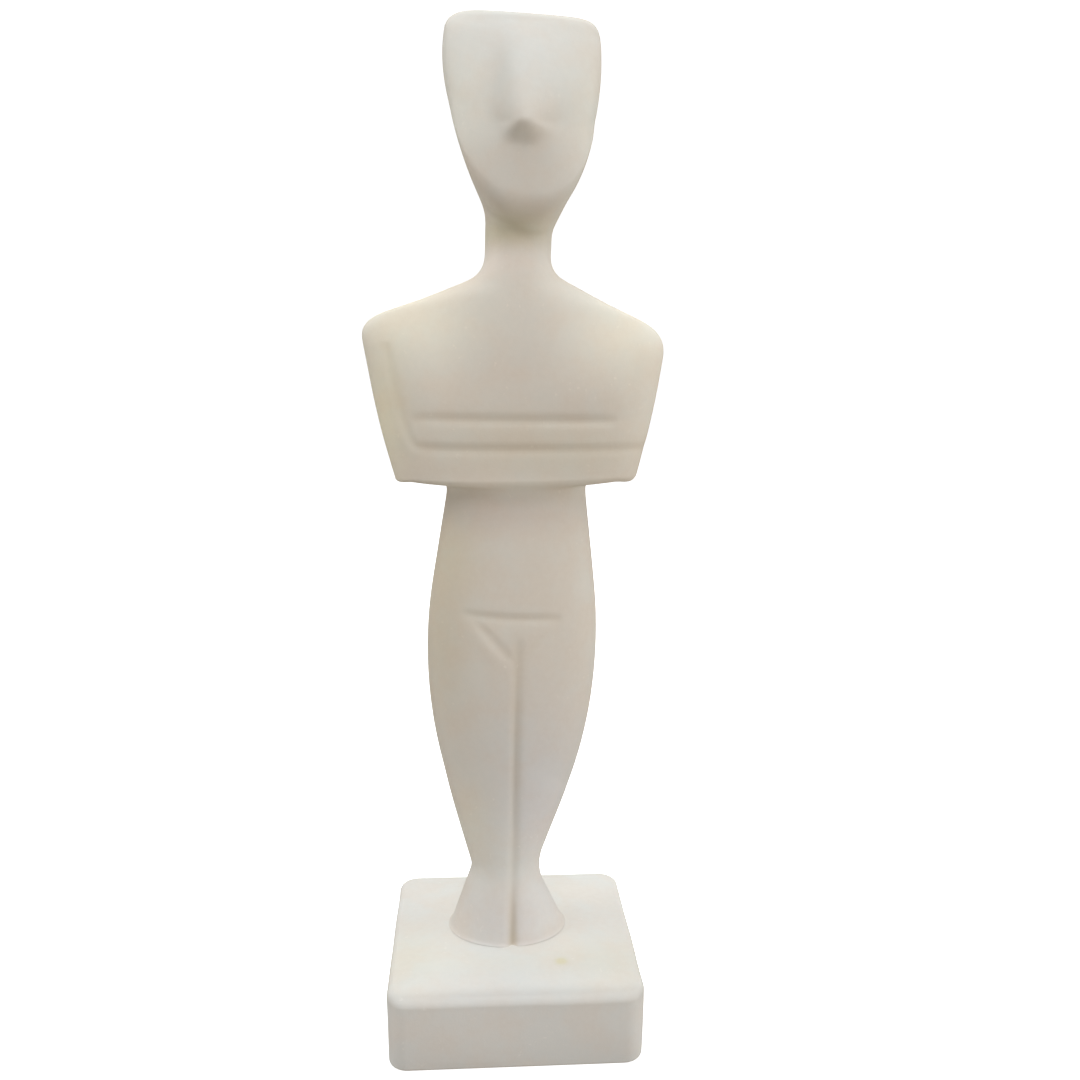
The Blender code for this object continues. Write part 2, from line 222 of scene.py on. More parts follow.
# The radii of its upright corners, of its top edge and its top edge in front, and of its foot's edge
PLINTH_CORNER = 4.1
PLINTH_TOP_EDGE = 1.4
PLINTH_FRONT_EDGE = 1.8
PLINTH_FOOT_EDGE = 0.8
# The top falls away to its edge over the ramp: by one drop all round and by another in front
PLINTH_RAMP = 4.5
PLINTH_RAMP_DROP = 0.5
PLINTH_FRONT_DROP = 1.0
# How far the front wall bulges and how far the foot is drawn in
PLINTH_BULGE = 0.2
PLINTH_DRAFT = 0.25
# The walls' wander: its size in hand wobbles, its wave and its seed
PLINTH_WANDER = 2.0
PLINTH_WANDER_WAVE = 22.0
PLINTH_WANDER_SEED = 8
# The columns along each side and round each corner, then the rings of each part of the profile
PLINTH_SIDE_COLUMNS = 44
PLINTH_CORNER_COLUMNS = 14
UNDERSIDE_RINGS = 12
EDGE_RINGS = 13
WALL_RINGS = 30
TOP_RINGS = 60
TOP_CROWDING = 1.6

# ------------------------------------------------------------
# The stone's tone and painted light and shade: soft patches that multiply its colour
# ------------------------------------------------------------

# On the figurine: x, height, spread in x, spread in height, then the tint in red, green and blue
# Some of these patches are the stone's own tone; many are painted light or painted shade
FIGURINE_TONES_AND_PAINTED_LIGHT = {
    "dusky rim": (1.0, 182.0, 40.0, 2.2, (0.93, 0.93, 0.93)),
    "chalky head": (1.0, 170.0, 18.0, 18.0, (0.97, 1.005, 1.045)),
    "dusky brow": (-3.0, 175.0, 11.0, 6.0, (0.955, 0.96, 0.97)),
    "shaded left of the nose": (-2.3, 168.5, 2.0, 5.5, (0.925, 0.92, 0.91)),
    # Painted light on the face beside the nose, on both sides
    "painted light left of the nose": (-4.5, 161.0, 3.0, 3.5, (1.05, 1.05, 1.05)),
    "painted light right of the nose": (5.8, 160.0, 3.5, 4.5, (1.06, 1.06, 1.06)),
    # Painted light on both cheeks
    "painted light on the left cheek": (-10.5, 163.5, 6.0, 9.5, (1.14, 1.16, 1.15)),
    "painted light on the right cheek": (14.0, 163.0, 5.5, 8.0, (1.06, 1.08, 1.07)),
    # Painted shade on the lower face, where the nose's shadow falls
    "painted shade under the nose": (0.0, 149.0, 9.0, 7.5, (0.955, 0.945, 0.94)),
    # Olive painted shade on the chin's underside
    "olive painted shade under the chin": (-2.0, 141.4, 9.0, 2.8, (0.91, 0.91, 0.79)),
    # Painted light on the neck just below the chin
    "painted light on the neck": (-2.0, 136.6, 8.0, 3.3, (1.12, 1.12, 1.15)),
    "pale collar": (8.0, 131.0, 8.0, 4.0, (1.025, 1.025, 1.025)),
    # A yellowish tint of the stone and painted light on the shoulders, which tilt up towards the light
    "yellowish painted light on the left shoulder": (-18.0, 125.5, 11.0, 8.0, (1.17, 1.18, 1.12)),
    "yellowish painted light on the right shoulder": (21.0, 124.0, 10.0, 9.0, (1.17, 1.18, 1.13)),
    # Yellowish painted light on the left arm's outer edge
    "yellowish painted light on the left arm": (-25.0, 107.0, 4.5, 13.0, (1.12, 1.12, 1.0)),
    "pale right arm": (26.0, 110.0, 6.0, 12.0, (1.085, 1.085, 1.075)),
    "breastbone": (1.0, 116.0, 8.0, 14.0, (0.98, 0.965, 0.96)),
    "pale left breast": (-15.0, 114.0, 5.0, 7.5, (1.055, 1.055, 1.05)),
    "dusky right breast": (12.0, 109.0, 8.0, 5.0, (0.965, 0.96, 0.965)),
    "dusky forearms": (4.0, 102.0, 22.0, 7.0, (0.935, 0.925, 0.885)),
    "dusky right forearm": (14.0, 98.0, 8.0, 4.0, (0.965, 0.96, 0.945)),
    # Painted light on the rim under the forearms
    "painted light on the arms' rim": (-2.0, 94.4, 26.0, 1.6, (1.08, 1.08, 1.08)),
    # Painted shade on the belly under the arms
    "painted shade under the arms": (-2.0, 88.8, 14.0, 3.6, (0.94, 0.91, 0.91)),
    "olive left belly": (-12.0, 81.0, 5.0, 8.0, (1.0, 0.995, 0.94)),
    "pale groin": (-7.0, 67.0, 8.0, 9.0, (1.03, 1.03, 1.03)),
    # Olive painted shade down the left hip and flank, on the side away from the light
    "olive painted shade on the left flank": (-15.0, 66.0, 6.0, 20.0, (0.91, 0.89, 0.82)),
    "chalky legs": (5.0, 38.0, 13.0, 16.0, (0.98, 1.01, 1.08)),
    # Painted shade along the cleft between the legs
    "painted shade along the cleft": (0.3, 40.0, 1.3, 22.0, (0.97, 0.96, 0.94)),
    "pale left calf": (-9.0, 26.0, 4.0, 8.0, (1.04, 1.04, 1.0)),
    "chalky right shin": (6.0, 24.0, 8.0, 12.0, (1.0, 1.0, 1.045)),
    # Painted light on the ankles
    "painted light on the ankles": (0.0, 18.0, 12.0, 9.0, (1.06, 1.11, 1.15)),
    "chalky feet": (0.0, 4.0, 14.0, 8.0, (0.96, 0.99, 1.07)),
    # Painted shade between the feet
    "painted shade between the feet": (-0.2, 2.0, 0.8, 6.0, (0.88, 0.84, 0.76)),
}

# On the plinth: x, y, height from its foot, spreads along all three, then the tint
# Some of these patches are the stone's own tone; many are painted light or painted shade
PLINTH_TONES_AND_PAINTED_LIGHT = {
    # Painted light on the back of the top, behind the feet
    "painted light on the back of the top": (4.0, 18.0, 16.5, 30.0, 16.0, 5.0, (1.15, 1.16, 1.15)),
    # Painted light on the top before the feet
    "painted light on the front of the top": (-4.0, -14.0, 16.5, 14.0, 6.0, 3.0, (1.04, 1.04, 1.01)),
    # Painted shade on the top just before the feet
    "painted shade before the feet": (0.0, -17.0, 16.5, 24.0, 5.0, 5.0, (0.98, 0.98, 0.985)),
    "warm right": (19.0, -14.0, 16.5, 12.0, 10.0, 5.0, (0.94, 0.93, 0.88)),
    "warm left": (-22.0, -10.0, 16.5, 8.0, 12.0, 5.0, (0.99, 0.99, 0.94)),
    # Painted shade along the top's rounded front edge
    "painted shade on the front edge": (0.0, -24.0, 15.7, 70.0, 2.0, 1.7, (0.82, 0.815, 0.81)),
    # Painted light on the front wall
    "painted light on the front wall": (0.0, -25.0, 8.0, 60.0, 3.0, 6.0, (1.05, 1.04, 1.03)),
}

# A small ochre spot on the plinth's top: its x and y, the height above which it shows, and its colour
STAIN_PLACE = (9.2, -13.9)
STAIN_LEVEL = 14.0
STAIN_COLOUR = (0.65, 0.59, 0.40)

# Painted shade in the carved lines: the tint at the deepest point, and the depth it takes
LINE_SHADE_TINT = (0.97, 0.955, 0.925)
LINE_SHADE_DEPTH = 0.5

# ------------------------------------------------------------
# The stage, in metres and watts
# ------------------------------------------------------------

# Square soft lights: place, side, power and colour
LIGHTS = {
    "overhead": ((0.0, 0.0, 1.0), 0.8, 3.6, (0.87, 1.0, 1.12)),
    "above front": ((0.0, -0.6, 0.8), 0.5, 2.2, (1.0, 1.0, 1.0)),
    "above left": ((-0.45, -0.1, 0.85), 0.5, 1.3, (0.93, 1.0, 1.03)),
    "above right": ((0.45, -0.1, 0.85), 0.5, 1.2, (0.9, 1.0, 1.03)),
    "high left": ((-0.8, -0.1, 0.6), 0.5, 1.2, (1.0, 1.0, 1.0)),
    "low left": ((-0.85, -0.3, 0.12), 0.5, 1.0, (1.0, 1.0, 1.0)),
    "low right": ((0.85, -0.3, 0.12), 0.5, 3.1, (1.0, 1.0, 1.0)),
    "behind": ((0.0, 0.7, 0.8), 0.6, 1.7, (1.1, 1.0, 0.8)),
}
LIGHT_AIM = (0.0, 0.0, 0.1)


class FigurineSettings(bpy.types.PropertyGroup):
    """What a user may change about the two pieces."""

    line_width: FloatProperty(
        name="Line width",
        description="How far from its middle a carved line reaches",
        default=0.95 * MM,
        min=0.2 * MM,
        unit="LENGTH",
    )
    cleft_width: FloatProperty(
        name="Cleft width",
        description="How far from its middle the line between the legs reaches",
        default=1.0 * MM,
        min=0.2 * MM,
        unit="LENGTH",
    )
    hand_wobble: FloatProperty(
        name="Hand wobble",
        description="How far the rubbed surface wanders from a true one",
        default=0.05 * MM,
        min=0.0,
        unit="LENGTH",
    )
    seat: FloatProperty(
        name="Seat",
        description="How far the sole is bedded into the glue on the plinth",
        default=0.1 * MM,
        min=0.0,
        unit="LENGTH",
    )
    figurine_stone: FloatVectorProperty(
        name="Figurine stone",
        description="Main colour of the figurine's cast marble",
        default=(0.685, 0.62, 0.535),
        subtype="COLOR",
        min=0.0,
        max=1.0,
    )
    plinth_stone: FloatVectorProperty(
        name="Plinth stone",
        description="Main colour of the plinth's cast marble",
        default=(0.695, 0.66, 0.61),
        subtype="COLOR",
        min=0.0,
        max=1.0,
    )


class StageSettings(bpy.types.PropertyGroup):
    """The floor, the lights and the camera."""

    floor_colour: FloatVectorProperty(
        name="Floor",
        description="Colour of the paper that the figurine stands on",
        default=(0.93, 0.93, 0.93),
        subtype="COLOR",
        min=0.0,
        max=1.0,
    )
    paper_glow: FloatProperty(
        name="Paper glow",
        description="How far the paper is lifted towards white",
        default=0.75,
        min=0.0,
    )
    sky_light: FloatVectorProperty(
        name="Sky light",
        description="Even light from the upper half of the room",
        default=(0.285, 0.28, 0.29),
        subtype="COLOR",
        min=0.0,
    )
    ground_light: FloatVectorProperty(
        name="Ground light",
        description="Even light thrown back from the lower half of the room",
        default=(0.415, 0.40, 0.365),
        subtype="COLOR",
        min=0.0,
    )
    light_level: FloatProperty(
        name="Light level",
        description="Brightness of all the lights, where 1 is their own power",
        default=1.0,
        min=0.0,
    )
    focal_length: FloatProperty(
        name="Focal length",
        description="Lens of the camera, on a sensor 36 mm wide",
        default=36.467,
        min=1.0,
        subtype="DISTANCE_CAMERA",
    )
    camera_place: FloatVectorProperty(
        name="Camera place",
        description="Where the camera is, from the middle of the plinth's top",
        default=(-0.0082, -0.2132, 0.1199),
        subtype="TRANSLATION",
        unit="LENGTH",
    )
    yaw: FloatProperty(
        name="Yaw",
        description="How far the camera is turned to the right",
        default=math.radians(4.24),
        unit="ROTATION",
    )
    pitch: FloatProperty(
        name="Pitch",
        description="How far the camera looks down",
        default=math.radians(10.81),
        unit="ROTATION",
    )
    roll: FloatProperty(
        name="Roll",
        description="How far the camera is tipped about its own line of sight",
        default=math.radians(0.56),
        unit="ROTATION",
    )
    shift: FloatVectorProperty(
        name="Shift",
        description="Lens shift across and up, as a share of the picture's width",
        default=(-12 / 1080, 20 / 1080),
        size=2,
    )


# ------------------------------------------------------------
# Surfaces
# ------------------------------------------------------------


def ease(share):
    """A smooth step: 0 below 0, 1 above 1, and 3s² - 2s³ between."""
    share = np.clip(share, 0, 1)
    return share * share * (3 - 2 * share)


def bell(offset):
    """A bell curve: e to the minus offset squared."""
    return np.exp(-(offset**2))


def wander(points, wave, seed):
    """A smooth, aimless field over points, within about ±1.

    It is the mean of a dozen sine waves. Each has its own random direction, a length near `wave`
    and a random start, all from the seed.
    """
    random = np.random.default_rng(seed)
    direction = random.normal(size=(12, 3))
    direction /= np.linalg.norm(direction, axis=1, keepdims=True)
    length = wave * random.uniform(0.7, 1.6, size=(12, 1))
    start = random.uniform(0, 2 * math.pi, size=12)
    phase = points @ (direction * 2 * math.pi / length).T + start
    return np.sin(phase).sum(axis=-1) / 4


def softened(path, spread):
    """Each column of the path blurred along its length by a bell of this many steps.

    Beyond its ends the path is carried on by turning it about its end points, so they stay put.
    """
    reach = int(3 * spread)
    weights = bell(np.arange(-reach, reach + 1) / (spread * math.sqrt(2)))
    weights /= weights.sum()
    before = 2 * path[:1] - path[reach:0:-1]
    after = 2 * path[-1:] - path[-2 : -reach - 2 : -1]
    longer = np.concatenate([before, path, after])
    return sum(w * longer[i : i + len(path)] for i, w in enumerate(weights))


def rail_points(step):
    """All four rails as (rings, 4 rails, 2), and each ring's squareness, with a ring every step.

    A rail is a straight run to `reach` short of the next corner, then the quadratic Bezier curve
    that the corner controls, which ends `reach` past it. Every rail has the same number of rings
    between stations, enough for the longest of the four. The squareness runs straight from the
    middle of one station's curve to the next.
    """
    stations = np.array(list(RAILS.values()))
    corners, reaches = stations[..., :2], stations[..., 2:]
    path = [corners[:1]]
    count, middles = 1, [0]

    def rings(length):
        return np.linspace(0, 1, max(2, math.ceil(length.max() / step)) + 1)[1:]

    for k in range(1, len(corners)):
        way_back = corners[k - 1] - corners[k]
        leg = np.linalg.norm(way_back, axis=-1, keepdims=True)
        run_start = path[-1][-1]
        run_end = corners[k] + way_back / leg * reaches[k]
        share = rings(np.linalg.norm(run_end - run_start, axis=-1))
        s = share[:, None, None]
        path.append(run_start * (1 - s) + run_end * s)
        count += len(share)
        if k == len(corners) - 1:
            break
        way_on = corners[k + 1] - corners[k]
        leg = np.linalg.norm(way_on, axis=-1, keepdims=True)
        curve_end = corners[k] + way_on / leg * reaches[k]
        share = rings(2 * reaches[k])
        s = share[:, None, None]
        path.append(run_end * (1 - s) ** 2 + corners[k] * 2 * s * (1 - s) + curve_end * s**2)
        middles.append(count + len(share) / 2)
        count += len(share)
    square = np.interp(np.arange(count), [*middles, count], SQUARENESS)
    return np.concatenate(path), square


def body_grid():
    """The uncarved figurine as (rings, columns, 3), in millimetres.

    Each ring is a superellipse through the four rails: x goes with the cosine of the angle, and y
    with (1 - |cos|^n)^(1/n), from the middle of the ring out to the front or the back rail. The
    heights of the side rails blend into those of the front and back rails with its square. The
    first FILLET_RINGS rings are each split in four. Bells at the shoulders and at the crown's left
    corner blend in a blurred copy, and a bell at the forearms' rim lifts it.
    """
    path, square = rail_points(RING_STEP)
    path, square = softened(path, RAIL_BLUR), softened(square, SQUARENESS_BLUR)
    ring = np.concatenate([np.arange(0, FILLET_RINGS, 0.25), np.arange(FILLET_RINGS, len(path))])
    below = np.minimum(ring.astype(int), len(path) - 2)
    past = ring - below
    path = path[below] * (1 - past)[:, None, None] + path[below + 1] * past[:, None, None]
    square = (square[below] * (1 - past) + square[below + 1] * past)[:, None]
    left, right, front, back = (path[:, i] for i in range(4))
    back_angle = np.linspace(0, math.pi, BACK_COLUMNS, endpoint=False)
    even = np.linspace(-1, 1, FRONT_COLUMNS, endpoint=False)
    crowded = even * (1 - CENTRE_CROWDING) + even**3 * CENTRE_CROWDING
    angle = np.concatenate([back_angle, math.pi * 1.5 + crowded * math.pi / 2])[None, :]
    across = np.cos(angle)
    fullness = (1 - np.abs(across) ** square) ** (1 / square)
    middle, half = (left + right) / 2, (right - left) / 2
    x = middle[:, :1] + half[:, :1] * across
    side_z = middle[:, 1:] + half[:, 1:] * across
    is_front = np.sin(angle) < 0
    rail_y = np.where(is_front, front[:, :1], back[:, :1])
    rail_z = np.where(is_front, front[:, 1:], back[:, 1:])
    side_y = (front[:, :1] + back[:, :1]) / 2
    z = side_z + (rail_z - middle[:, 1:]) * fullness**2
    y = side_y + (rail_y - side_y) * fullness * np.where(is_front, 1 - chest_lean(x, z), 1)
    rounding = bell((z - SHOULDER_HEIGHT) / SHOULDER_SPREAD) * fullness**2 * is_front
    corner_x, corner_z = CROWN_CORNER
    corner = bell((x - corner_x) / CROWN_SPREAD) * bell((z - corner_z) / CROWN_SPREAD)
    rounding = np.maximum(rounding, corner * fullness**0.3)
    grid = np.stack([x, y, z], axis=-1)
    grid = grid + (softened(grid, ROUNDING_BLUR) - grid) * rounding[..., None]
    lift = RIM_LIFT * ease((RIM_END - np.abs(x)) / RIM_RUN) * bell((z - RIM_HEIGHT) / RIM_SPREAD)
    grid[..., 2] += lift * is_front
    return grid


def outward_normals(grid):
    """Unit normals of a grid whose columns run anticlockwise and whose rings climb.

    Each is the cross product of the step along the ring and the step up to the next ring.
    """
    along = np.roll(grid, -1, axis=1) - np.roll(grid, 1, axis=1)
    upward = np.gradient(grid, axis=0)
    normal = np.cross(along, upward)
    size = np.linalg.norm(normal, axis=-1, keepdims=True)
    return np.where(size > 1e-9, normal / np.maximum(size, 1e-9), (0.0, 0.0, 1.0))


def rounded_line(corners):
    """The corners with each one cut off twice, a quarter of the way along its legs, as a smooth line."""
    line = np.array(corners, float)
    for _ in range(2):
        first, second = line[:-1], line[1:]
        cut = np.stack([first * 0.75 + second * 0.25, first * 0.25 + second * 0.75], axis=1)
        line = np.concatenate([line[:1], cut.reshape(-1, 3), line[-1:]])
    return line


def carved(x, z, lines, line_width):
    """The depth of all the lines together: the deepest line's, less the highest raised edge's.

    Each is a bell of its own width, as deep in its middle as the nearest place on the line, between
    its corners. Down and to the left of a line its slow share is a bell SLOW_WIDTH times as wide.
    """
    depth, raised = np.zeros(x.shape), np.zeros(x.shape)
    for share, slow_share, corners in lines:
        line, width = rounded_line(corners), line_width * share
        near, full, side = np.full(x.shape, np.inf), np.zeros(x.shape), np.zeros(x.shape)
        for start, way in zip(line, np.diff(line, axis=0)):
            along = (x - start[0]) * way[0] + (z - start[1]) * way[1]
            s = np.clip(along / (way[:2] ** 2).sum(), 0, 1)
            aside, above = x - start[0] - way[0] * s, z - start[1] - way[1] * s
            distance = np.hypot(aside, above)
            closer = distance < near
            full = np.where(closer, start[2] + way[2] * s, full)
            side = np.where(closer, -(aside + above) / np.maximum(distance, 1e-6), side)
            near = np.minimum(near, distance)
        slow = slow_share * ease(side / 0.5)
        across = (1 - slow) * bell(near / width) + slow * bell(near / (width * SLOW_WIDTH))
        depth, raised = np.maximum(depth, full * across), np.maximum(raised, -full * across)
    return depth - raised


def stepped(x, z):
    """The depth of the steps: it grows smoothly down to each line, then ends over STEP_HEIGHT."""
    depth = np.zeros(x.shape)
    for line, reach, full, middle, spread in FRONT_STEPS.values():
        sinking = np.clip(1 - (z - line) / reach, 0, 1) ** 2
        step = ease((z - line + STEP_HEIGHT) / STEP_HEIGHT)
        depth = depth + full * sinking * step * bell(((x - middle) / spread) ** 2)
    return depth


def nose(x, z):
    """How far the nose stands out of the face, as a ridge that rises from brow to tip.

    Across the ridge it is e to the minus |offset / spread|^firmness, with a softer right flank. The
    spread draws in with the fourth power of the way down, and on the right under the tip too. The
    underside is a smooth step that arches up in its middle with the square of the offset.
    """
    offset = x - NOSE_X
    growth = np.clip((NOSE_TOP - z) / (NOSE_TOP - NOSE_TIP), 0, 1)
    underside = ease((z + NOSE_ARCH * offset**2 - NOSE_END) / (NOSE_TIP - NOSE_END))
    spread = NOSE_SPREAD_TOP + (NOSE_SPREAD_TIP - NOSE_SPREAD_TOP) * growth**4
    right = NOSE_RIGHT + (NOSE_RIGHT_TIP - NOSE_RIGHT) * growth**4
    right = NOSE_RIGHT_UNDER + (right - NOSE_RIGHT_UNDER) * underside
    spread = spread * np.where(offset > 0, right, 1)
    firmness = np.where(offset > 0, NOSE_RIGHT_FIRMNESS, NOSE_FIRMNESS)
    across = np.exp(-np.abs(offset / spread) ** firmness)
    return NOSE_HEIGHT * growth**NOSE_GROWTH * underside * across


def chest_lean(x, z):
    """The share by which the upper chest is thinner.

    It grows with the square of the height, runs out in a smooth step at the neck, and takes another
    smooth step outwards from the breastbone.
    """
    aside = np.abs(x - LEAN_BREASTBONE) - LEAN_INNER
    height = np.clip((z - LEAN_FOOT) / LEAN_RISE, 0, 1) ** 2 * ease((LEAN_TOP - z) / LEAN_FADE)
    return LEAN_SHARE * height * ease(aside / LEAN_WIDTH)


def muzzle(x, z):
    """How far the lower face is set back: a smooth step down to the chin that fades under it."""
    height = ease((MUZZLE_TOP - z) / MUZZLE_DROP) * ease((z - THROAT_TOP + THROAT_DROP) / THROAT_DROP)
    return MUZZLE_DEPTH * height * bell((x - MUZZLE_X) / MUZZLE_WIDTH)


def figurine_grid(settings):
    """The carved figurine as (rings, columns, 3), in millimetres from its axis and sole, and its line shade.

    The uncarved body plus a relief along its normals: swellings and steps, less the carved lines,
    plus a slow wander. The sole flares out in a quarter ellipse, and the nose and the muzzle are
    pushed straight forwards and back. The painted line shade is 0 on the open surface and 1 in the deepest
    lines.
    """
    grid = body_grid()
    normal = outward_normals(grid)
    x, z = grid[..., 0], grid[..., 2]
    line_width = settings.line_width / MM
    front = ease(-normal[..., 1] / 0.35)
    back = ease(normal[..., 1] / 0.35)
    relief = -carved(x, z, FRONT_LINES.values(), line_width) * front
    relief = relief - carved(x, z, [CLEFT], settings.cleft_width / MM) * front
    relief = relief - carved(x, z, BACK_LINES.values(), line_width) * back
    sunk = -relief
    for at_x, at_z, spread_x, spread_z, rise in FRONT_SWELLS.values():
        relief = relief + rise * bell((x - at_x) / spread_x) * bell((z - at_z) / spread_z) * front
    relief = relief - stepped(x, z) * front
    relief = relief + settings.hand_wobble / MM * wander(grid, WANDER_WAVE, WANDER_SEED)
    grid = grid + normal * relief[..., None]
    climb = np.clip(z / FILLET_HEIGHT, 0, 1)
    flare = FILLET_REACH * (1 - np.sqrt(climb * (2 - climb)))
    grid[..., :2] += normal[..., :2] * flare[..., None]
    facing = np.maximum(-normal[..., 1], 0)
    grid[..., 1] += (muzzle(x, z) - nose(x, z)) * ease(facing / 0.2)
    # The second result is the painted shade of the lines, from how deep they are carved
    return grid, np.clip(sunk / LINE_SHADE_DEPTH, 0, 1)


def square_outline(columns_side, columns_corner):
    """Columns round a rounded square, as (columns, 2) arrays of arc centres and of outward normals.

    A ring of half side h and corner radius r is then centre * (h - r) + normal * r.
    """
    turn = np.linspace(0, math.pi / 2, columns_corner, endpoint=False)
    run = np.linspace(0, 1, columns_side, endpoint=False)[:, None]
    centres, normals = [], []
    for quarter in range(4):
        start = quarter * math.pi / 2
        here = np.array([math.cos(start + math.pi / 4), math.sin(start + math.pi / 4)]) * math.sqrt(2)
        there = np.array([-here[1], here[0]])
        angle, end = start + turn, start + math.pi / 2
        normals.append(np.stack([np.cos(angle), np.sin(angle)], axis=-1))
        centres.append(np.tile(here, (columns_corner, 1)))
        normals.append(np.tile([math.cos(end), math.sin(end)], (columns_side, 1)))
        centres.append(here * (1 - run) + there * run)
    return np.concatenate(centres), np.concatenate(normals)


def plinth_grid(size, settings):
    """The plinth as (rings, columns, 3), in millimetres, from the middle of its foot to that of its top.

    Every ring is a rounded square, drawn in from the outer one by an inset, at a height. The insets
    and heights follow a profile: the foot, a quarter circle, the drafted wall, a quarter circle, and
    the top, which falls away towards the wall as a bell over PLINTH_RAMP. Towards the front the
    top edge is rounder and the wall bulges a little. The walls wander slightly.
    """
    half, height = size[0] / 2, size[2]
    centres, normals = square_outline(PLINTH_SIDE_COLUMNS, PLINTH_CORNER_COLUMNS)
    to_front = ease((-normals[:, 1] - 0.3) / 0.7)
    foot = PLINTH_FOOT_EDGE
    edge = PLINTH_TOP_EDGE + (PLINTH_FRONT_EDGE - PLINTH_TOP_EDGE) * to_front
    drop = PLINTH_RAMP_DROP + (PLINTH_FRONT_DROP - PLINTH_RAMP_DROP) * to_front
    shoulder = height - drop - edge
    quarter = (np.linspace(0, 1, EDGE_RINGS)[1:] * math.pi / 2)[:, None]
    under = np.linspace(1, 0, UNDERSIDE_RINGS)[:, None]
    wall = np.linspace(0, 1, WALL_RINGS)[1:, None]
    flat = 1 - np.linspace(1, 0, TOP_RINGS)[1:, None] ** TOP_CROWDING
    every = np.ones(len(normals))
    bulge = PLINTH_BULGE * to_front * (1 - (2 * wall - 1) ** 2)
    inset = [
        (foot + (half - foot) * under + PLINTH_DRAFT) * every,
        (foot * (1 - np.sin(quarter)) + PLINTH_DRAFT) * every,
        PLINTH_DRAFT * (1 - wall) - bulge,
        edge * (1 - np.cos(quarter)),
        edge + (half - edge) * flat,
    ]
    level = [
        under * every * 0,
        foot * (1 - np.cos(quarter)) * every,
        foot + (shoulder - foot) * wall,
        shoulder + edge * np.sin(quarter),
        height - drop * bell((inset[-1] - edge) / PLINTH_RAMP),
    ]
    inset, level = np.concatenate(inset), np.concatenate(level)
    ring_half = np.maximum(half - inset, 0)[..., None]
    radius = np.maximum(PLINTH_CORNER - inset[..., None], 0.1 * ring_half)
    flat_xy = centres * (ring_half - radius) + normals * radius
    grid = np.concatenate([flat_xy, level[..., None]], axis=-1)
    on_wall = ease(level / 2) * ease((ring_half[..., 0] - 0.8 * half) / (0.2 * half))
    sway = PLINTH_WANDER * settings.hand_wobble / MM * wander(grid, PLINTH_WANDER_WAVE, PLINTH_WANDER_SEED)
    sway = sway * on_wall
    grid[..., :2] += normals * sway[..., None]
    return grid


def fitted(points, low, high):
    """The points moved and scaled along each axis so that their box is exactly low to high."""
    flat = points.reshape(-1, 3)
    first, last = flat.min(axis=0), flat.max(axis=0)
    share = (points - first) / (last - first)
    return np.array(low) + share * (np.array(high) - np.array(low))


def figurine_tone_and_painted_light(grid, line_shade):
    """The tint of every point of the figurine: its patches' bells of tone and painted light and shade, then
    the painted shade in the lines.
    """
    x, z = grid[..., 0], grid[..., 2]
    tone = np.ones(grid.shape)
    for at_x, at_z, spread_x, spread_z, tint in FIGURINE_TONES_AND_PAINTED_LIGHT.values():
        mask = bell((x - at_x) / spread_x) * bell((z - at_z) / spread_z)
        tone *= 1 + (np.array(tint) - 1) * mask[..., None]
    # The carved lines are darkened with painted shade by their depth
    return tone * (1 + (np.array(LINE_SHADE_TINT) - 1) * line_shade[..., None])


def plinth_tone_and_painted_light(grid):
    """The tint of every point of the plinth: its patches' bells of tone and of painted light and shade."""
    tone = np.ones(grid.shape)
    for *places, tint in PLINTH_TONES_AND_PAINTED_LIGHT.values():
        place, spread = np.reshape(places, (2, 3))
        mask = bell(np.linalg.norm((grid - place) / spread, axis=-1))
        tone *= 1 + (np.array(tint) - 1) * mask[..., None]
    return tone


def closed_mesh(name, grid, tone):
    """A mesh of the grid's quads, closed by a fan of triangles round the middle of each end ring.

    The tone, with its painted light and shade, is kept on its points as the colour attribute that the
    stone's material reads.
    """
    rings, columns = grid.shape[:2]
    points = np.concatenate([grid.reshape(-1, 3), grid[:1].mean(axis=1), grid[-1:].mean(axis=1)])
    index = np.arange(rings * columns).reshape(rings, columns)
    beside = np.roll(index, -1, axis=1)
    quads = np.stack([index[:-1], beside[:-1], beside[1:], index[1:]], axis=-1).reshape(-1, 4)
    sole = np.full(columns, rings * columns)
    crown = sole + 1
    fans = np.concatenate(
        [np.stack([beside[0], index[0], sole], axis=-1), np.stack([index[-1], beside[-1], crown], axis=-1)]
    )
    mesh = bpy.data.meshes.new(name)
    mesh.from_pydata(points.tolist(), [], quads.tolist() + fans.tolist())
    mesh.shade_smooth()
    mesh.set_sharp_from_angle(angle=math.radians(50))
    tones = np.concatenate([tone.reshape(-1, 3), tone[:1].mean(axis=1), tone[-1:].mean(axis=1)])
    tones = np.concatenate([tones, np.ones((len(tones), 1))], axis=1)
    attribute = mesh.attributes.new("tone", "FLOAT_COLOR", "POINT")
    attribute.data.foreach_set("color", tones.astype(np.float32).ravel())
    return mesh


def add_piece(name, grid, tone, node, material):
    """Puts the grid into the scene as a piece that stands for a CAD node and takes its slot."""
    mesh = closed_mesh(name, grid, tone)
    mesh.materials.append(material)
    piece = bpy.data.objects.new(name, mesh)
    bpy.context.scene.collection.objects.link(piece)
    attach(piece, BODY)
    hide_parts(node)
    return piece


# ------------------------------------------------------------
# Materials
# ------------------------------------------------------------


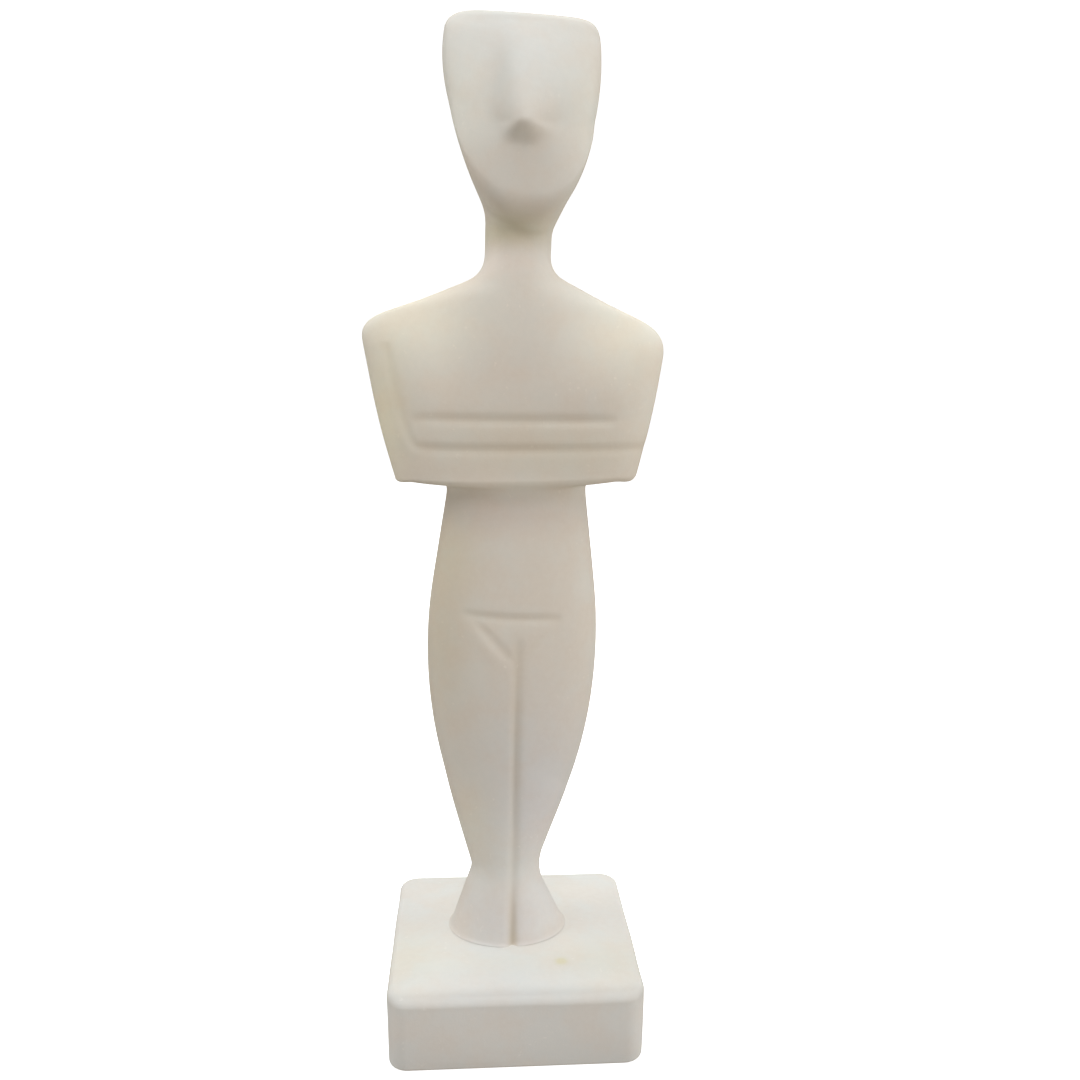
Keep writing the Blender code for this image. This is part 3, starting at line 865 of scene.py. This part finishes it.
class Signal:
    """A number that varies over a surface: a socket whose arithmetic adds Math nodes."""

    def __init__(self, recipe, socket):
        self.recipe = recipe
        self.socket = socket

    def math(self, operation, *values):
        node = self.recipe.node("ShaderNodeMath", {"operation": operation}, dict(enumerate(values)))
        return Signal(self.recipe, node.outputs[0])

    def __add__(self, other):
        return self.math("ADD", self, other)

    def __radd__(self, other):
        return self.math("ADD", other, self)

    def __sub__(self, other):
        return self.math("SUBTRACT", self, other)

    def __rsub__(self, other):
        return self.math("SUBTRACT", other, self)

    def __mul__(self, other):
        return self.math("MULTIPLY", self, other)

    def __rmul__(self, other):
        return self.math("MULTIPLY", other, self)

    def between(self, low, high):
        """0 where the signal is low, 1 where it is high, with a smooth step between."""
        node = self.recipe.node(
            "ShaderNodeMapRange",
            {"interpolation_type": "SMOOTHSTEP"},
            {"Value": self, "From Min": low, "From Max": high},
        )
        return Signal(self.recipe, node.outputs["Result"])


class Recipe:
    """A material and the few ways in which its nodes are added."""

    def __init__(self, name):
        self.material = bpy.data.materials.new(name)
        self.material.use_nodes = True
        self.tree = self.material.node_tree
        self.shader = self.tree.nodes["Principled BSDF"]

    def node(self, kind, settings=None, sockets=None):
        """Adds a node, sets its own settings, then feeds its sockets with values or links."""
        node = self.tree.nodes.new(kind)
        for key, value in (settings or {}).items():
            setattr(node, key, value)
        for key, value in (sockets or {}).items():
            self.feed(node.inputs[key], value)
        return node

    def feed(self, socket, value):
        """Links a signal or a socket to the socket, or sets a plain value on it."""
        if isinstance(value, Signal):
            value = value.socket
        if isinstance(value, bpy.types.NodeSocket):
            self.tree.links.new(value, socket)
        else:
            socket.default_value = value

    def millimetres(self):
        """The place on the object as a vector in millimetres."""
        place = self.node("ShaderNodeTexCoord").outputs["Object"]
        scaled = self.node("ShaderNodeVectorMath", {"operation": "SCALE"}, {0: place, "Scale": 1 / MM})
        return scaled.outputs[0]

    def noise(self, place, size, detail=2.0, roughness=0.5):
        """Clouds about this many millimetres across, from 0 to 1."""
        node = self.node(
            "ShaderNodeTexNoise",
            None,
            {"Vector": place, "Scale": 1 / size, "Detail": detail, "Roughness": roughness},
        )
        return Signal(self, node.outputs[0])

    def blend(self, first, second, mask):
        """One colour over the other where the mask is 1."""
        node = self.node("ShaderNodeMix", {"data_type": "RGBA"}, {0: mask, 6: first, 7: second})
        return node.outputs[2]

    def tinted(self, colour, tint):
        """One colour multiplied by another."""
        settings = {"data_type": "RGBA", "blend_type": "MULTIPLY"}
        node = self.node("ShaderNodeMix", settings, {0: 1.0, 6: colour, 7: tint})
        return node.outputs[2]

    def axes(self, place):
        """The three axes of a vector, as signals."""
        node = self.node("ShaderNodeSeparateXYZ", None, {0: place})
        return [Signal(self, socket) for socket in node.outputs]


def shaded(colour, factor):
    """The colour with every channel multiplied by a factor, as a socket value."""
    if isinstance(factor, (int, float)):
        factor = (factor,) * 3
    return (*(c * f for c, f in zip(colour, factor)), 1.0)


def marble(name, colour, grain):
    """Matt cast marble: the stone's colour times its tone and painted light and shade, mottled, with pale
    flecks and a fine tooth.
    """
    recipe = Recipe(name)
    place = recipe.millimetres()
    clouds = recipe.noise(place, 9.0, 3.0, 0.6).between(0.34, 0.66)
    base = recipe.blend(shaded(colour, (1.0, 0.975, 0.955)), shaded(colour, (0.99, 1.015, 1.03)), clouds)
    mottle = recipe.noise(place, 1.3, 3.0, 0.7).between(0.3, 0.7)
    base = recipe.blend(base, shaded(colour, 1.06), mottle * 0.3)
    flecks = recipe.noise(place, 0.9, 1.0).between(0.66, 0.80)
    flecks = flecks * recipe.noise(place, 7.0).between(0.48, 0.62)
    base = recipe.blend(base, shaded(colour, 1.16), flecks * 0.5)
    # The tone attribute carries the patches of tone and of painted light and shade
    tone = recipe.node("ShaderNodeAttribute", {"attribute_name": "tone"}).outputs["Color"]
    recipe.feed(recipe.shader.inputs["Base Color"], recipe.tinted(base, tone))
    recipe.feed(recipe.shader.inputs["Roughness"], recipe.noise(place, 3.0) * 0.12 + 0.62)
    tooth = recipe.noise(place, 0.4, 2.0) + recipe.noise(place, 1.8, 1.0) * 0.8
    bump = recipe.node("ShaderNodeBump", None, {"Strength": grain, "Distance": 0.025 * MM, "Height": tooth})
    recipe.feed(recipe.shader.inputs["Normal"], bump.outputs[0])
    recipe.shader.inputs["Specular IOR Level"].default_value = 0.3
    recipe.material.diffuse_color = (*colour, 1.0)
    return recipe


def figurine_stone(settings):
    """The figurine's marble, rubbed smoother than the plinth's."""
    return marble("rubbed figurine marble", settings.figurine_stone, 0.5).material


def plinth_stone(settings):
    """The plinth's marble, with one small ochre spot on its top before the feet."""
    recipe = marble("cut plinth marble", settings.plinth_stone, 0.8)
    place = recipe.millimetres()
    x, y, z = recipe.axes(place)
    aside, ahead = x - STAIN_PLACE[0], y - STAIN_PLACE[1]
    spot = aside * aside + ahead * ahead + recipe.noise(place, 0.7) * 0.9
    on_top = z.between(STAIN_LEVEL, STAIN_LEVEL + 1)
    halo, core = 1 - spot.between(0.6, 5.0), 1 - spot.between(0.3, 2.4)
    base = recipe.shader.inputs["Base Color"]
    clean = base.links[0].from_socket
    stained = recipe.tinted(clean, (0.97, 0.965, 0.90, 1.0))
    stained = recipe.blend(clean, stained, halo * on_top)
    recipe.feed(base, recipe.blend(stained, (*STAIN_COLOUR, 1.0), core * on_top * 0.8))
    return recipe.material


def floor_paper(settings):
    """Plain pale paper."""
    recipe = Recipe("floor_paper")
    recipe.shader.inputs["Base Color"].default_value = (*settings.floor_colour, 1.0)
    recipe.shader.inputs["Roughness"].default_value = 0.9
    recipe.shader.inputs["Specular IOR Level"].default_value = 0.1
    recipe.shader.inputs["Emission Color"].default_value = (1.0, 1.0, 1.0, 1.0)
    recipe.shader.inputs["Emission Strength"].default_value = settings.paper_glow
    return recipe.material


# ------------------------------------------------------------
# Operators
# ------------------------------------------------------------


class CYCLADIC_OT_carve_figurine(bpy.types.Operator):
    """Builds the figurine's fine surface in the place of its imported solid."""

    bl_idname = "cycladic.carve_figurine"
    bl_label = "Carve figurine"

    def execute(self, context):
        settings = context.scene.cycladic_figurine
        low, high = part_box("figurine")
        seat_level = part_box("plinth")[1].z - settings.seat
        grid, line_shade = figurine_grid(settings)
        tone = figurine_tone_and_painted_light(grid, line_shade)
        grid = fitted(grid, (low.x, low.y, seat_level), (high.x, high.y, high.z))
        add_piece("carved_figurine", grid, tone, "figurine", figurine_stone(settings))
        return {"FINISHED"}


class CYCLADIC_OT_cut_plinth(bpy.types.Operator):
    """Builds the plinth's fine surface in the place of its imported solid."""

    bl_idname = "cycladic.cut_plinth"
    bl_label = "Cut plinth"

    def execute(self, context):
        settings = context.scene.cycladic_figurine
        low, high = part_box("plinth")
        grid = plinth_grid([side / MM for side in high - low], settings)
        tone = plinth_tone_and_painted_light(grid)
        grid = fitted(grid, low, high)
        add_piece("cut_plinth", grid, tone, "plinth", plinth_stone(settings))
        return {"FINISHED"}


def add_light(name, place, aim, size, power, colour=(1.0, 1.0, 1.0)):
    """A square soft light at a place, turned to face the aim."""
    light = bpy.data.lights.new(name, "AREA")
    light.size = size
    light.energy = power
    light.color = colour
    holder = bpy.data.objects.new(name, light)
    holder.location = place
    holder.rotation_euler = (Vector(aim) - Vector(place)).to_track_quat("-Z", "Y").to_euler()
    bpy.context.scene.collection.objects.link(holder)
    return holder


def paper_grid():
    """The paper as (rings, columns, 3): a round floor that curves up on all sides into a high wall.

    The profile runs outwards, turns up through a quarter circle, then climbs; each ring is a circle.
    """
    flat, bend, rise = 1.6, 0.6, 4.0
    turn = np.linspace(0, math.pi / 2, 24)[1:]
    reach = np.concatenate([[0.0, flat], flat + bend * np.sin(turn), [flat + bend]])
    level = np.concatenate([[0, 0], bend * (1 - np.cos(turn)), [rise]])
    round_angle = np.linspace(0, 2 * math.pi, 97)
    ones = np.ones((len(reach), len(round_angle)))
    across = reach[:, None] * np.cos(round_angle)
    along = reach[:, None] * np.sin(round_angle)
    return np.stack([across, along, ones * level[:, None]], axis=-1)


class CYCLADIC_OT_set_stage(bpy.types.Operator):
    """Lays the floor, hangs the lights and sets up the camera."""

    bl_idname = "cycladic.set_stage"
    bl_label = "Set stage"

    def execute(self, context):
        settings = context.scene.cycladic_stage
        self.lay_floor(context, settings)
        self.hang_lights(context, settings)
        self.place_camera(context, settings)
        return {"FINISHED"}

    def lay_floor(self, context, settings):
        grid = paper_grid()
        rings, columns = grid.shape[:2]
        index = np.arange(rings * columns).reshape(rings, columns)
        quads = np.stack([index[:-1, :-1], index[:-1, 1:], index[1:, 1:], index[1:, :-1]], axis=-1)
        mesh = bpy.data.meshes.new("paper_bowl")
        mesh.from_pydata(grid.reshape(-1, 3).tolist(), [], quads.reshape(-1, 4).tolist())
        mesh.shade_smooth()
        mesh.materials.append(floor_paper(settings))
        floor = bpy.data.objects.new("paper_bowl", mesh)
        floor.visible_diffuse = False
        floor.visible_shadow = False
        floor.visible_glossy = False
        context.scene.collection.objects.link(floor)

    def hang_lights(self, context, settings):
        world = bpy.data.worlds.new("studio")
        world.use_nodes = True
        nodes, links = world.node_tree.nodes, world.node_tree.links
        direction = nodes.new("ShaderNodeTexCoord").outputs["Generated"]
        height = nodes.new("ShaderNodeSeparateXYZ")
        links.new(direction, height.inputs[0])
        horizon = nodes.new("ShaderNodeMapRange")
        horizon.inputs["From Min"].default_value = -0.15
        horizon.inputs["From Max"].default_value = 0.15
        links.new(height.outputs["Z"], horizon.inputs["Value"])
        halves = nodes.new("ShaderNodeMix")
        halves.data_type = "RGBA"
        links.new(horizon.outputs["Result"], halves.inputs[0])
        halves.inputs[6].default_value = (*settings.ground_light, 1.0)
        halves.inputs[7].default_value = (*settings.sky_light, 1.0)
        links.new(halves.outputs[2], nodes["Background"].inputs["Color"])
        context.scene.world = world
        context.scene.view_settings.view_transform = "Standard"
        for name, (place, size, power, colour) in LIGHTS.items():
            add_light(name, place, LIGHT_AIM, size, power * settings.light_level, colour)

    def place_camera(self, context, settings):
        camera = bpy.data.cameras.new("camera")
        camera.sensor_width = 36.0
        camera.lens = settings.focal_length
        camera.shift_x, camera.shift_y = settings.shift
        camera.dof.use_dof = False
        yaw, pitch, roll = settings.yaw, settings.pitch, settings.roll
        ahead = Vector((math.sin(yaw) * math.cos(pitch), math.cos(yaw) * math.cos(pitch), -math.sin(pitch)))
        level = Vector((math.cos(yaw), -math.sin(yaw), 0))
        upright = level.cross(ahead)
        across = level * math.cos(roll) + upright * math.sin(roll)
        up = upright * math.cos(roll) - level * math.sin(roll)
        turn = Matrix((across, up, -ahead)).transposed().to_4x4()
        low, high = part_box("plinth")
        top = Vector(((low.x + high.x) / 2, (low.y + high.y) / 2, high.z))
        holder = bpy.data.objects.new("camera", camera)
        holder.matrix_world = Matrix.Translation(top + Vector(settings.camera_place)) @ turn
        context.scene.collection.objects.link(holder)
        context.scene.camera = holder


class CYCLADIC_PT_figurine(bpy.types.Panel):
    """The sidebar panel that lists the steps and what they read."""

    bl_idname = "CYCLADIC_PT_figurine"
    bl_label = "Cycladic figurine"
    bl_space_type = "VIEW_3D"
    bl_region_type = "UI"
    bl_category = "Cycladic"

    def draw(self, context):
        layout = self.layout
        for operator in OPERATORS:
            layout.operator(operator.bl_idname)
        for settings in (context.scene.cycladic_figurine, context.scene.cycladic_stage):
            box = layout.box()
            for name in settings.bl_rna.properties.keys():
                if name not in ("rna_type", "name"):
                    box.prop(settings, name)


OPERATORS = (CYCLADIC_OT_carve_figurine, CYCLADIC_OT_cut_plinth, CYCLADIC_OT_set_stage)
CLASSES = (FigurineSettings, StageSettings, *OPERATORS, CYCLADIC_PT_figurine)


def register():
    for cls in CLASSES:
        bpy.utils.register_class(cls)
    bpy.types.Scene.cycladic_figurine = PointerProperty(type=FigurineSettings)
    bpy.types.Scene.cycladic_stage = PointerProperty(type=StageSettings)


def unregister():
    del bpy.types.Scene.cycladic_stage
    del bpy.types.Scene.cycladic_figurine
    for cls in reversed(CLASSES):
        bpy.utils.unregister_class(cls)


def main():
    register()
    bpy.ops.cycladic.carve_figurine()
    bpy.ops.cycladic.cut_plinth()
    bpy.ops.cycladic.set_stage()


if __name__ == "__main__":
    main()
